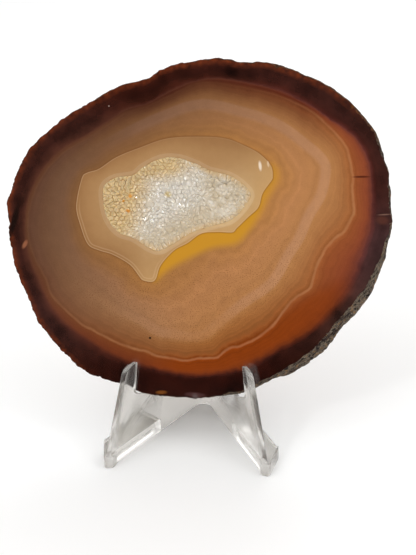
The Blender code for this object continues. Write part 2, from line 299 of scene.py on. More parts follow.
def chips(line, side):
    """How far a polished face is chipped back from the rim, here and there along it."""
    places = [Vector((u, v, side)) / CHIP_PITCH for u, v in line]
    bites = np.array([noise.noise(p) * noise.noise(p * CHIP_BREAKS + CHIP_SHIFT) for p in places])
    return EDGE_WEAR + CHIP_SIZE * np.clip(bites - CHIP_START, 0, 1)


def rim_ring(line, depth):
    """The rough skin of the nodule at one depth, as a ring of points across, back and up."""
    grow = flare(line) * depth / SLICE_THICKNESS
    grow = grow + ripple(line, depth, RIM_LUMPS) + np.minimum(0, ripple(line, depth, RIM_GRAIN))
    for side, away in ((FRONT_CHIPS, depth), (BACK_CHIPS, SLICE_THICKNESS - depth)):
        bite = chips(line, side)
        grow = grow - bite * np.clip(1 - away / (CHIP_SLOPE * bite), 0, 1)
    edge = line + outward(line) * grow[:, None]
    return np.column_stack([edge[:, 0], np.full(len(edge), depth), edge[:, 1]])


def between(inner, outer, share):
    """A ring part of the way from one ring to another."""
    return inner + (outer - inner) * share


def slice_rings():
    """All the rings of the slice, from the floor of its hollow over the rim to its back."""
    rim = closed_line(RIM, STATIONS)
    hollow = closed_line(HOLLOW[::-1], STATIONS)
    hollow = np.roll(hollow, -hollow[:, 0].argmax(), axis=0)
    middle = np.array(HOLLOW_CENTRE)
    rings = []
    for share, depth in HOLLOW_STEPS:
        flat = middle + (hollow - middle) * max(share, FLOOR_REACH)
        rings.append(np.column_stack([flat[:, 0], np.full(STATIONS, depth), flat[:, 1]]))
    lip = hollow + outward(hollow) * LIP
    lip = np.column_stack([lip[:, 0], np.zeros(STATIONS), lip[:, 1]])
    front = rim_ring(rim, 0.0)
    rings += [between(lip, front, (k / FACE_RINGS) ** RING_CROWDING) for k in range(FACE_RINGS + 1)]
    rings += [rim_ring(rim, depth) for depth in RIM_DEPTHS]
    back = rim_ring(rim, SLICE_THICKNESS)
    centre = np.array([HOLLOW_CENTRE[0], SLICE_THICKNESS, HOLLOW_CENTRE[1]])
    rings += [between(back, centre, BACK_REACH * k / BACK_RINGS) for k in range(BACK_RINGS + 1)]
    return rings


def pull_loop(piece, ring):
    """Extrude the open loop of edges and move each of its new vertices to its own place."""
    bpy.ops.mesh.extrude_edges_move()
    shape = bmesh.from_edit_mesh(piece.data)
    station = shape.verts.layers.int["station"]
    for vertex in shape.verts:
        if vertex.select:
            vertex.co = ring[vertex[station]]


def slice_mesh():
    """The slice in its own plane, in millimetres: a small round floor pulled out ring by ring."""
    rings = slice_rings()
    bpy.ops.mesh.primitive_circle_add(vertices=STATIONS, radius=1.0, fill_type="NGON")
    stone = bpy.context.object
    stone.name = "polished_agate"
    stone.data.attributes.new("station", "INT", "POINT").data.foreach_set("value", range(STATIONS))
    stone.data.vertices.foreach_set("co", rings[0].ravel())
    bpy.ops.object.mode_set(mode="EDIT")
    bpy.ops.mesh.select_all(action="SELECT")
    for ring in rings[1:]:
        pull_loop(stone, ring)
    bpy.ops.mesh.edge_face_add()
    bpy.ops.mesh.select_all(action="SELECT")
    bpy.ops.mesh.normals_make_consistent(inside=False)
    bpy.ops.object.mode_set(mode="OBJECT")
    stone.data.attributes.remove(stone.data.attributes["station"])
    return stone


# Lines that can be seen in the stone, from the skin inwards
RIND_EDGE = (
    (45.2, 44.0), (45.5, 52.0), (44.8, 60.3), (40.8, 67.6), (33.6, 72.2), (27.0, 76.2),
    (20.4, 79.0), (13.3, 80.6), (6.6, 81.5), (0.0, 80.5), (-6.0, 78.2), (-11.3, 75.3),
    (-17.0, 73.6), (-22.2, 70.4), (-27.5, 67.0), (-34.0, 63.4), (-39.0, 58.2), (-42.6, 51.5),
    (-43.8, 44.0), (-43.2, 36.4), (-40.8, 29.2), (-37.4, 22.4), (-32.4, 16.8), (-26.3, 12.7),
    (-20.0, 9.1), (-13.5, 7.0), (-6.8, 5.8), (0.0, 5.0), (6.8, 5.7), (13.6, 7.0), (19.5, 10.3),
    (25.0, 14.2), (30.8, 18.1), (35.5, 23.4), (40.1, 29.4), (43.1, 36.4),
)
PALE_LINE = (
    (2.0, 80.4), (10.0, 79.8), (17.0, 78.5), (22.5, 77.0), (30.0, 73.5), (34.0, 70.0),
    (38.0, 65.8), (39.6, 61.7), (40.5, 57.2), (40.3, 54.7), (41.0, 48.9), (40.6, 47.9),
    (38.5, 43.6), (36.8, 42.5), (34.0, 39.1), (32.0, 34.8), (30.6, 29.6), (29.6, 28.5),
    (26.5, 26.4), (23.8, 23.0), (20.5, 18.5), (16.1, 15.3), (12.4, 13.4), (10.6, 13.1),
    (8.8, 12.1), (6.8, 10.3), (5.1, 10.1), (1.6, 9.9), (-1.3, 9.2), (-4.7, 9.7),
    (-8.6, 10.1), (-12.2, 11.5), (-14.5, 11.8), (-19.0, 13.2), (-26.0, 16.5), (-29.5, 18.5),
    (-36.5, 25.0), (-38.5, 30.0), (-42.0, 37.0), (-43.0, 44.0), (-41.5, 51.3), (-38.0, 57.6),
    (-33.0, 62.6), (-27.0, 66.2), (-22.0, 69.4), (-16.8, 72.8), (-11.3, 74.5), (-5.5, 77.2),
)
MAUVE_LINE = (
    (2.0, 76.3), (12.0, 74.8), (22.0, 71.5), (30.0, 66.0), (34.1, 62.1), (35.0, 58.5),
    (33.9, 52.5), (30.9, 47.0), (28.7, 41.5), (25.9, 36.8), (23.2, 31.6), (20.4, 28.2),
    (14.0, 23.5), (8.5, 18.8), (4.5, 15.4), (0.0, 14.3), (-5.0, 14.9), (-9.0, 15.5), (-14.0, 18.5),
    (-22.0, 22.5), (-28.0, 27.0), (-33.5, 35.0), (-36.0, 44.0), (-35.0, 54.0), (-29.0, 61.5),
    (-20.0, 67.5), (-8.0, 73.2),
)
CORE_EDGE = (
    (-28.5, 56.0), (-30.0, 49.0), (-29.0, 44.0), (-27.0, 39.0), (-24.0, 37.5), (-20.5, 36.5),
    (-16.0, 34.0), (-13.5, 31.0), (-12.5, 30.0), (-9.5, 30.0), (-8.0, 34.0), (-4.5, 38.0),
    (-1.0, 40.0), (2.5, 42.5), (6.5, 43.0), (10.5, 43.0), (11.5, 44.0), (14.5, 47.0),
    (17.0, 49.5), (18.0, 53.0), (20.0, 56.0), (20.5, 57.0), (20.0, 60.0), (17.0, 63.0),
    (13.0, 65.0), (9.0, 66.5), (3.5, 67.0), (-6.0, 66.5), (-13.5, 64.0), (-19.5, 61.5),
    (-24.0, 58.5), (-27.0, 57.5),
)
# The edge of the yellow band at the core's lower right, painted as glowing where light comes through thinner
# stone
YELLOW_GLOW_EDGE = (
    (-9.8, 29.8), (-6.5, 32.2), (-3.0, 34.5), (5.0, 38.5), (11.5, 40.0), (15.0, 43.5),
    (17.5, 47.5), (19.4, 51.5), (22.2, 57.0), (20.6, 60.5), (16.0, 58.0), (10.0, 50.0),
    (0.0, 45.0), (-7.0, 38.0),
)
HOLLOW_REACH = 10.0
LAYERS = 6.0


def write_layers(stone):
    """Keep at each vertex how it lies among the stone's layers, for the material to read."""
    places = np.empty(len(stone.data.vertices) * 3, np.float32)
    stone.data.vertices.foreach_get("co", places)
    spots = places.reshape(-1, 3)[:, [0, 2]].astype(float)
    outlines = (RIM, RIND_EDGE, PALE_LINE, MAUVE_LINE, CORE_EDGE, HOLLOW)
    insides = [inside_distance(closed_line(points, LINE_POINTS), spots) for points in outlines]
    layer = np.zeros(len(spots))
    for k, (outer, inner) in enumerate(zip(insides, insides[1:])):
        held = (outer > 0) & (inner <= 0)
        layer[held] = k + outer[held] / (outer[held] - inner[held])
    hollow = insides[-1] > 0
    layer[hollow] = len(outlines) - 1 + np.clip(insides[-1][hollow] / HOLLOW_REACH, 0, 1)
    measures = {
        "layer": layer, "rim": insides[0], "pale": insides[2], "mauve": insides[3],
        "core": insides[4], "hollow": insides[5],
        "yellow_glow": inside_distance(closed_line(YELLOW_GLOW_EDGE, LINE_POINTS // 2), spots),
    }
    for name, values in measures.items():
        stone.data.attributes.new(name, "FLOAT", "POINT").data.foreach_set("value", values)


def lean_back(piece):
    """Turn a piece from the slice's own plane, in millimetres, to where the slice leans."""
    lean = Matrix.Rotation(math.radians(-SLICE_LEAN), 4, "X")
    piece.data.transform(Matrix.Translation(FACE_FOOT) @ lean @ Matrix.Scale(MM, 4))


def keep_in_box(piece, node):
    """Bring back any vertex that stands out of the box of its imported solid."""
    low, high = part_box(node)
    places = np.empty(len(piece.data.vertices) * 3, np.float32)
    piece.data.vertices.foreach_get("co", places)
    places = np.clip(places.reshape(-1, 3), np.array(low), np.array(high))
    piece.data.vertices.foreach_set("co", places.ravel().astype(np.float32))
    piece.data.update()


def seen(red, green, blue):
    """A colour as a screen shows it, 0 to 255, as the linear values that a shader takes."""
    shares = [c / 255 for c in (red, green, blue)]
    return (*(c / 12.92 if c <= 0.04045 else ((c + 0.055) / 1.055) ** 2.4 for c in shares), 1.0)


def slice_place(tree):
    """The place on the slice in its own plane, in millimetres: across, back and up the face."""
    place = add_node(tree, "ShaderNodeTexCoord").outputs["Object"]
    flat = add_node(tree, "ShaderNodeMapping", {
        "Vector": place, "Location": FACE_FOOT, "Rotation": (math.radians(-SLICE_LEAN), 0, 0),
        "Scale": (MM, MM, MM)}, vector_type="TEXTURE")
    return flat.outputs["Vector"]


def kept(tree, name):
    """A value that the mesh keeps at its vertices."""
    return add_node(tree, "ShaderNodeAttribute", attribute_name=name).outputs["Fac"]


def step(tree, value, start, end):
    """A smooth step from 0 at the start to 1 at the end."""
    made = add_node(tree, "ShaderNodeMapRange", {
        "Value": value, "From Min": start, "From Max": end}, interpolation_type="SMOOTHSTEP")
    return made.outputs["Result"]


def math_of(tree, operation, a, b=0.0, c=0.0):
    """The result of a Math node."""
    return add_node(tree, "ShaderNodeMath", {0: a, 1: b, 2: c}, operation=operation).outputs[0]


def product(tree, *values):
    """Several values multiplied."""
    result = values[0]
    for value in values[1:]:
        result = math_of(tree, "MULTIPLY", result, value)
    return result


def mix(tree, share, a, b, blend="MIX"):
    """One colour laid over another by a share."""
    made = add_node(tree, "ShaderNodeMix", {0: share, 6: a, 7: b}, data_type="RGBA", blend_type=blend)
    return made.outputs[2]


def ramp(tree, value, stops):
    """A colour that runs through a list of stops, each a layer and a colour as seen."""
    made = add_node(tree, "ShaderNodeValToRGB", {"Fac": math_of(tree, "DIVIDE", value, LAYERS)})
    elements = made.color_ramp.elements
    for _ in range(len(stops) - len(elements)):
        elements.new(0.5)
    for element, (position, shade) in zip(elements, stops):
        element.position = position / LAYERS
        element.color = seen(*shade)
    return made.outputs["Color"]


def side_of_face(tree, place, direction, start, end):
    """A smooth step across the face along a direction, in millimetres from its middle."""
    turn = math.radians(direction)
    along = Vector((math.cos(turn), 0, math.sin(turn)))
    middle = Vector((FACE_CENTRE[0], 0, FACE_CENTRE[1])).dot(along)
    distance = add_node(tree, "ShaderNodeVectorMath", {0: place, 1: along}, operation="DOT_PRODUCT")
    return step(tree, distance.outputs["Value"], middle + start, middle + end)


def spot(tree, place, centre, size, turn=0.0, softness=0.5):
    """A mask over a small oval mark: its middle, its half sizes and its turn in the face."""
    local = add_node(tree, "ShaderNodeMapping", {
        "Vector": place, "Location": (centre[0], 0, centre[1]),
        "Rotation": (0, -math.radians(turn), 0), "Scale": (size[0], 1.0, size[1])},
        vector_type="TEXTURE")
    flat = add_node(tree, "ShaderNodeVectorMath", {0: local.outputs[0], 1: (1, 0, 1)}, operation="MULTIPLY")
    length = add_node(tree, "ShaderNodeVectorMath", {0: flat.outputs[0]}, operation="LENGTH")
    return step(tree, length.outputs["Value"], 1.0 + softness, 1.0 - softness)


# Painted light: the stone's colours by layer, lit where light is painted as coming through the stone and
# shaded on the other side:
# 0 skin, 1 end of the dark rind, 2 pale line, 3 mauve band, 4 edge of the core, 5 to 6 hollow
PAINTED_LIT_COLOURS = (
    (0.0, (68, 46, 45)), (0.75, (72, 44, 43)), (1.0, (88, 46, 42)), (1.3, (130, 64, 39)),
    (1.8, (142, 76, 40)), (2.1, (150, 91, 50)), (2.6, (162, 108, 64)), (3.0, (172, 119, 72)),
    (3.5, (175, 121, 76)), (4.0, (178, 122, 64)),
)
PAINTED_SHADED_COLOURS = (
    (0.0, (66, 32, 24)), (0.6, (52, 25, 19)), (1.0, (76, 42, 31)), (1.3, (87, 52, 36)),
    (1.8, (89, 55, 36)), (2.1, (91, 58, 39)), (2.6, (100, 66, 42)), (3.0, (105, 71, 46)),
    (3.5, (111, 76, 50)), (4.0, (120, 83, 51)),
)
# Painted light for the core: its colours on the painted lit side, then on the painted shaded side
PAINTED_LIT_CORE = (
    (4.0, (190, 150, 100)), (4.5, (188, 150, 102)), (5.0, (194, 160, 116)), (5.6, (198, 172, 134)),
)
PAINTED_SHADED_CORE = (
    (4.0, (147, 106, 67)), (4.5, (162, 122, 80)), (5.0, (169, 130, 87)), (5.6, (179, 143, 96)),
)
# Sides of the face: a direction in degrees, and how far from the middle each begins and is whole
# LIT_SIDE runs from the painted shaded side of the face to the painted lit side
LIT_SIDE = (-33.0, -38.0, 24.0)
TOP_SIDE = (70.0, 14.0, 28.0)
FAR_RIGHT = (0.0, 27.0, 38.0)
ROSE_SIDE = (205.0, 6.0, 26.0)
LOW_SIDE = (-78.0, 10.0, 32.0)
BURNT_SIDES = ((-40.0, 10.0, 22.0), (-85.0, 18.0, 31.0))
BLACK_SIDE = (-85.0, 22.0, 38.0)
MAUVE_RIGHT = (30.0, -14.0, 6.0)
MAUVE_LOW = (-75.0, 12.0, 24.0)
CORE_LIT_SIDE = (-45.0, -10.0, 8.0)
CORE_RIM_SIDE = (250.0, -22.0, 6.0)
SECOND_RIM_SIDE = (235.0, 9.0, 14.0)
BARE_SIDE = (-45.0, -5.0, 14.0)
PALE_SIDE = (-50.0, -22.0, 24.0)
SPECK_SIDE = (-80.0, -4.0, 14.0)
YELLOW_GLOW_SIDE = (-85.0, -14.0, -2.0)
GRAY_SKIN_SIDE = (-38.0, 14.0, 26.0)
BURNT = seen(128, 55, 11)
BLACKISH = seen(38, 7, 2)
BURNT_PATCH = ((29.5, 22.0), (12.0, 3.6), 40.0)
MAUVE_LIFT = (1.05, 1.14, 1.5, 1.0)
ROSE_LIFT = (0.98, 1.06, 1.3, 1.0)
TOP_SHADE = (0.5, 0.38, 0.4, 1.0)
TOP_RIND_SHADE = (0.7, 0.48, 0.36, 1.0)
LOW_SHADE = (0.76, 0.64, 0.46, 1.0)
SKIN_BROWN = seen(112, 50, 25)
PALE = seen(190, 136, 92)
PAINTED_YELLOW_GLOW = seen(192, 136, 38)
SPECK = seen(98, 56, 26)
CORE_RIM = seen(222, 190, 150)
CORE_SHADE = seen(112, 68, 36)
PAINTED_CORE_GLOW = seen(202, 168, 112)
POLISH = 0.08
WORN_LIP = 0.6
QUARTZ_IOR = 1.54
RIND_ROUGHNESS = 0.85
RIND_GLOSS = 0.12
RIND_GRAIN_DEPTH = 0.3
# Small marks on the front face: middle, half sizes, turn and colour; the last two are painted highlights
# where light catches two small chips
MARKS = (
    ((-10.7, 14.9), (0.3, 0.26), 0, (22, 12, 8)),
    ((-21.3, 74.4), (0.18, 0.16), 0, (150, 132, 122)),
    ((-46.6, 44.6), (0.8, 4.6), -16, (26, 13, 9)),
    ((-43.8, 38.6), (0.5, 1.1), -28, (138, 86, 60)),
    ((42.6, 57.6), (2.0, 0.24), 2, (84, 36, 20)),
    ((48.4, 48.3), (1.5, 0.16), 4, (112, 82, 70)),
    ((48.0, 46.9), (1.5, 1.0), -8, (78, 44, 36)),
    ((-7.7, 0.5), (1.3, 0.45), 4, (112, 64, 24)),
    ((1.2, 0.2), (2.4, 0.6), -2, (70, 44, 42)),
    ((17.3, 59.9), (0.36, 1.1), 8, (226, 206, 182)),
    ((19.3, 60.4), (0.25, 0.7), 12, (208, 178, 142)),
)


def product_colour(tree, colour, other):
    """Two colours multiplied."""
    return mix(tree, 1.0, colour, other, "MULTIPLY")


def scaled(tree, colour, value):
    """A colour made lighter or darker by a value."""
    return add_node(tree, "ShaderNodeVectorMath", {0: colour, "Scale": value}, operation="SCALE").outputs[0]


def band_lines(tree, layer, count):
    """Uneven fine bands that follow the layers, so many of them to a layer: a value round 0.5."""
    along = math_of(tree, "MULTIPLY", layer, count)
    return add_node(tree, "ShaderNodeTexNoise", {
        "W": along, "Scale": 1.0, "Detail": 2.0}, noise_dimensions="1D").outputs["Fac"]


def agate_layers(tree, place, layer, light):
    """The banded stone round the core: its rind, brown and tan layers and their soft clouds, with painted
    light from a lit and a shaded copy of its colours.
    """
    # Painted light: the shaded copy of the colours blends into the lit copy across the face
    stone = mix(tree, light, ramp(tree, layer, PAINTED_SHADED_COLOURS), ramp(tree, layer, PAINTED_LIT_COLOURS))
    # Painted shade: the rind and the layers inside it darker towards the top of the face
    top = side_of_face(tree, place, *TOP_SIDE)
    rind = product(tree, top, step(tree, layer, 1.15, 0.85))
    stone = mix(tree, rind, stone, product_colour(tree, stone, TOP_RIND_SHADE))
    top = product(tree, top, math_of(tree, "SUBTRACT", 1.0, side_of_face(tree, place, *FAR_RIGHT)))
    top = product(tree, top, step(tree, layer, 0.9, 1.5), step(tree, layer, 3.4, 1.7))
    stone = mix(tree, top, stone, product_colour(tree, stone, TOP_SHADE))
    rose = side_of_face(tree, place, *ROSE_SIDE)
    rose = product(tree, rose, step(tree, layer, 1.6, 2.4), step(tree, layer, 3.9, 3.3))
    stone = mix(tree, rose, stone, product_colour(tree, stone, ROSE_LIFT))
    low = side_of_face(tree, place, *LOW_SIDE)
    warm = product(tree, low, step(tree, layer, 3.3, 2.75))
    stone = mix(tree, warm, stone, product_colour(tree, stone, LOW_SHADE))
    burnt = product(tree, *(side_of_face(tree, place, *side) for side in BURNT_SIDES))
    burnt = product(tree, burnt, step(tree, layer, 0.95, 1.5), step(tree, layer, 2.3, 1.95))
    stone = mix(tree, burnt, stone, BURNT)
    patch = product(tree, spot(tree, place, *BURNT_PATCH, 0.45), step(tree, layer, 2.25, 1.95))
    stone = mix(tree, math_of(tree, "MULTIPLY", patch, 0.7), stone, BURNT)
    black = product(tree, side_of_face(tree, place, *BLACK_SIDE), step(tree, layer, 1.3, 0.8), 0.9)
    stone = mix(tree, black, stone, BLACKISH)

    below = math_of(tree, "MULTIPLY", side_of_face(tree, place, *MAUVE_LOW), 0.4)
    mauve_side = math_of(tree, "MAXIMUM", side_of_face(tree, place, *MAUVE_RIGHT), below)
    mauve = kept(tree, "mauve")
    mauve = product(tree, mauve_side, step(tree, mauve, -0.3, 0.4), step(tree, mauve, 3.3, 1.9))
    stone = mix(tree, mauve, stone, product_colour(tree, stone, MAUVE_LIFT))

    deep = math_of(tree, "MULTIPLY_ADD", light, 0.22, 0.12)
    deep = math_of(tree, "MULTIPLY_ADD", burnt, 0.2, deep)
    deep = math_of(tree, "MULTIPLY_ADD", product(tree, low, step(tree, layer, 1.9, 2.3)), 0.2, deep)
    lines = math_of(tree, "SUBTRACT", band_lines(tree, layer, 7.0), 0.5)
    shade = math_of(tree, "MULTIPLY_ADD", lines, deep, 1.0)
    cloud = math_of(tree, "MULTIPLY_ADD", mottle(tree, place, 2.6, 1.0), 0.24, 0.88)
    grain = math_of(tree, "MULTIPLY_ADD", mottle(tree, place, 0.3, 1.0), 0.3, 0.85)
    blotch = math_of(tree, "MULTIPLY_ADD", mottle(tree, place, 6.5, 1.5), -1.6, 0.66)
    blotch = math_of(tree, "MULTIPLY_ADD", blotch, step(tree, layer, 1.25, 0.7), 1.0)
    return scaled(tree, stone, product(tree, shade, cloud, grain, blotch))


def agate_core(tree, place, layer):
    """The pale core, in a painted lit and a painted shaded copy: a thin light line at its edge, a second line
    inside and a painted glow at the hollow.
    """
    core = kept(tree, "core")
    # Painted light: the core's shaded copy blends into its lit copy across the face
    core_side = side_of_face(tree, place, *CORE_LIT_SIDE)
    inner = mix(tree, core_side, ramp(tree, layer, PAINTED_SHADED_CORE), ramp(tree, layer, PAINTED_LIT_CORE))
    inner = scaled(tree, inner, math_of(tree, "MULTIPLY_ADD", mottle(tree, place, 1.6, 1.0), 0.12, 0.94))
    # Painted glow: the core turns a lighter yellow round the hollow, as if lit through, more so on the
    # painted lit side
    streaks = math_of(tree, "MULTIPLY_ADD", mottle(tree, place, 1.3, 1.0), 2.0, -1.0)
    glow = step(tree, math_of(tree, "ADD", kept(tree, "hollow"), streaks), -2.0, 0.7)
    glow = product(tree, glow, math_of(tree, "MULTIPLY_ADD", core_side, 0.3, 0.2))
    inner = mix(tree, glow, inner, PAINTED_CORE_GLOW)
    rim_share = math_of(tree, "MULTIPLY_ADD", side_of_face(tree, place, *CORE_RIM_SIDE), 0.26, 0.08)
    inner = mix(tree, product(tree, step(tree, core, 0.3, 0.05), rim_share), inner, CORE_RIM)
    from_second = math_of(tree, "ABSOLUTE", math_of(tree, "SUBTRACT", core, 0.8))
    second = product(tree, side_of_face(tree, place, *SECOND_RIM_SIDE), step(tree, from_second, 0.25, 0.05))
    return mix(tree, math_of(tree, "MULTIPLY", second, 0.18), inner, CORE_RIM)


def polished_agate():
    """Polished banded chalcedony: dark rind, orange-brown and tan layers, a pale core, small marks and
    painted highlights.
    """
    made, tree, shader = new_material("polished agate")
    place = slice_place(tree)
    wide = math_of(tree, "MULTIPLY_ADD", mottle(tree, place, 9.0, 1.0), 0.24, -0.12)
    small = math_of(tree, "MULTIPLY_ADD", mottle(tree, place, 2.2, 1.0), 0.2, -0.1)
    layer = math_of(tree, "ADD", math_of(tree, "ADD", kept(tree, "layer"), wide), small)
    # Painted light: how far each spot lies towards the painted lit side
    light = side_of_face(tree, place, *LIT_SIDE)
    stone = agate_layers(tree, place, layer, light)

    far = math_of(tree, "SUBTRACT", 1.0, side_of_face(tree, place, *BARE_SIDE))
    skin = product(tree, far, step(tree, kept(tree, "rim"), 1.9, 0.2), mottle(tree, place, 1.4, 2.4))
    stone = mix(tree, skin, stone, SKIN_BROWN)
    scallop = math_of(tree, "MULTIPLY_ADD", mottle(tree, place, 3.0, 1.0), 0.8, -0.4)
    pale = math_of(tree, "ABSOLUTE", math_of(tree, "ADD", kept(tree, "pale"), scallop))
    pale_share = math_of(tree, "MULTIPLY_ADD", side_of_face(tree, place, *PALE_SIDE), 0.34, 0.03)
    uneven = math_of(tree, "MULTIPLY_ADD", mottle(tree, place, 4.0, 1.4), 0.9, 0.35)
    stone = mix(tree, product(tree, step(tree, pale, 0.55, 0.05), pale_share, uneven), stone, PALE)

    speck_zone = product(tree, side_of_face(tree, place, *SPECK_SIDE), step(tree, layer, 2.4, 3.0))
    specks = step(tree, mottle(tree, place, 0.28, 2.2), 0.6, 0.78)
    stone = mix(tree, product(tree, specks, speck_zone, 0.55), stone, SPECK)
    # Partly the stone's yellow, partly painted light: the band at the core's lower right glows as if light
    # came through thinner stone there
    yellow_glow_share = math_of(tree, "MULTIPLY_ADD", side_of_face(tree, place, *YELLOW_GLOW_SIDE), 0.4, 0.6)
    stone = mix(tree, product(tree, step(tree, kept(tree, "yellow_glow"), -1.2, 1.6), yellow_glow_share), stone, PAINTED_YELLOW_GLOW)
    shade = math_of(tree, "MULTIPLY", step(tree, kept(tree, "core"), -0.5, -0.02), 0.5)
    stone = mix(tree, shade, stone, CORE_SHADE)
    stone = mix(tree, step(tree, kept(tree, "core"), -0.07, 0.07), stone, agate_core(tree, place, layer))

    # Marks go on the front face only, where the painted highlights catch the light
    front = step(tree, add_node(tree, "ShaderNodeSeparateXYZ", {"Vector": place}).outputs["Y"], 2.0, 1.0)
    for centre, size, turn, colour in MARKS:
        mark = math_of(tree, "MULTIPLY", spot(tree, place, centre, size, turn), front)
        stone = mix(tree, mark, stone, seen(*colour))
    worn = add_node(tree, "ShaderNodeMapRange", {
        "Value": kept(tree, "hollow"), "From Min": -1.3, "From Max": -0.5,
        "To Min": POLISH, "To Max": WORN_LIP})
    tree.links.new(worn.outputs["Result"], shader.inputs["Roughness"])
    tree.links.new(stone, shader.inputs["Base Color"])
    shader.inputs["IOR"].default_value = QUARTZ_IOR
    return made


def rough_rind():
    """The nodule's rough skin and its chips: gray, black and ochre grains, brown round the far side."""
    made, tree, shader = new_material("rough agate rind")
    place = slice_place(tree)
    fine = mottle(tree, place, 0.28, 4.4)
    coarse = mottle(tree, place, 1.1, 3.4)
    gray = mix(tree, fine, seen(26, 18, 15), seen(160, 142, 122))
    gray = mix(tree, step(tree, coarse, 0.78, 1.0), gray, seen(158, 118, 74))
    gray = mix(tree, step(tree, coarse, 0.42, 0.1), gray, seen(20, 13, 10))
    stain = step(tree, mottle(tree, place, 4.0, 2.4), 0.4, 1.1)
    gray = mix(tree, stain, gray, seen(44, 24, 18))
    brown = mix(tree, fine, seen(26, 12, 8), seen(112, 62, 30))
    brown = mix(tree, math_of(tree, "MULTIPLY", step(tree, coarse, 0.5, 1.15), 0.6), brown, seen(146, 88, 40))
    gray_side = side_of_face(tree, place, *GRAY_SKIN_SIDE)
    inward = math_of(tree, "MULTIPLY_ADD", coarse, 0.9, kept(tree, "rim"))
    gray = mix(tree, step(tree, inward, 0.9, 1.4), gray, seen(44, 21, 17))
    skin = mix(tree, gray_side, brown, gray)
    bump = add_node(tree, "ShaderNodeBump", {
        "Height": fine, "Strength": 0.9, "Distance": RIND_GRAIN_DEPTH * MM})
    tree.links.new(skin, shader.inputs["Base Color"])
    tree.links.new(bump.outputs["Normal"], shader.inputs["Normal"])
    shader.inputs["Roughness"].default_value = RIND_ROUGHNESS
    shader.inputs["Specular IOR Level"].default_value = RIND_GLOSS
    return made


def sharpen_borders(stone):
    """A sharp edge wherever the polished face meets the rough rind."""
    shape = bmesh.new()
    shape.from_mesh(stone.data)
    for edge in shape.edges:
        edge.smooth = len({face.material_index for face in edge.link_faces}) == 1
    shape.to_mesh(stone.data)
    shape.free()


stone = slice_mesh()
write_layers(stone)
stone.data.materials.append(polished_agate())
stone.data.materials.append(rough_rind())
for face in stone.data.polygons:
    from_middle = math.hypot(face.center.x - FACE_CENTRE[0], face.center.z - FACE_CENTRE[1])
    face.material_index = int(from_middle > RIND_REACH and abs(face.normal.y) < RIND_SLOPE)
sharpen_borders(stone)
lean_back(stone)
keep_in_box(stone, "agate_slice")
only(stone)
bpy.ops.object.shade_smooth_by_angle(angle=math.radians(SMOOTH_ANGLE))
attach(stone, "root")
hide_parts("agate_slice")

# Crystal crust
# Small quartz crystals that grew side by side on the wall of the hollow with their points out:
# clear with yellow gaps at the left, milky in the middle, finer and frosted at the right.
CRYSTAL_PITCH = 1.12
CRYSTAL_COLUMNS = 52
CRYSTAL_ROWS = 34
CELL_MERGE = 0.01
BORDER_POINTS = 300
SHADE_POINTS = 200
CRYSTAL_WARP = (6.0, 1.5)
WARP_SHIFT = Vector((5.0, 9.0, 2.0))
CRYSTAL_JITTER = 0.2
CRYSTAL_PAIRS = 0.16
CRUST_DEPTHS = ((-1.0, 0.15), (0.0, 0.2), (0.6, 0.5), (1.6, 0.85), (3.5, 1.25), (30.0, 1.45))
CRUST_THICKNESS = 0.9
CRYSTAL_HEIGHTS = (0.03, 0.16)
CRYSTAL_POINTS = (0.08, 0.5)
CRYSTAL_LEAN = 0.3
CRYSTAL_WIDTHS = (0.72, 0.94)
CRYSTAL_GAP = 0.02
BORDER_CELLS = 0.3
BORDER_FIT = 0.9
GAP_UNEVENNESS = 0.2
FROST_FROM = 2.0
FROST_BELOW = 44.5
FROST_HEIGHT = 0.55
luck = random.Random(11)


def cell_patch():
    """A flat patch of six-sided cells, wide enough to cover the hollow."""
    radius = CRYSTAL_PITCH / math.sqrt(3)
    bpy.ops.mesh.primitive_circle_add(vertices=6, radius=radius, fill_type="NGON")
    crust = bpy.context.object
    crust.name = "quartz_crystals"
    across = (CRYSTAL_PITCH, 0.0, 0.0)
    up = (CRYSTAL_PITCH / 2, radius * 1.5, 0.0)
    start = Vector((HOLLOW_CENTRE[0], HOLLOW_CENTRE[1], 0.0))
    for count, stride in ((CRYSTAL_COLUMNS, across), (CRYSTAL_ROWS, up)):
        rows = crust.modifiers.new("cells", "ARRAY")
        rows.count = count
        rows.use_relative_offset = False
        rows.use_constant_offset = True
        rows.constant_offset_displace = stride
        bpy.ops.object.modifier_apply(modifier=rows.name)
        start -= Vector(stride) * (count - 1) / 2
    crust.data.transform(Matrix.Translation(start))
    return crust


def crust_depth(inside):
    """How deep the gaps between the crystals lie below the face, by the distance inside the hollow."""
    distances, depths = zip(*CRUST_DEPTHS)
    return float(np.interp(inside, distances, depths))


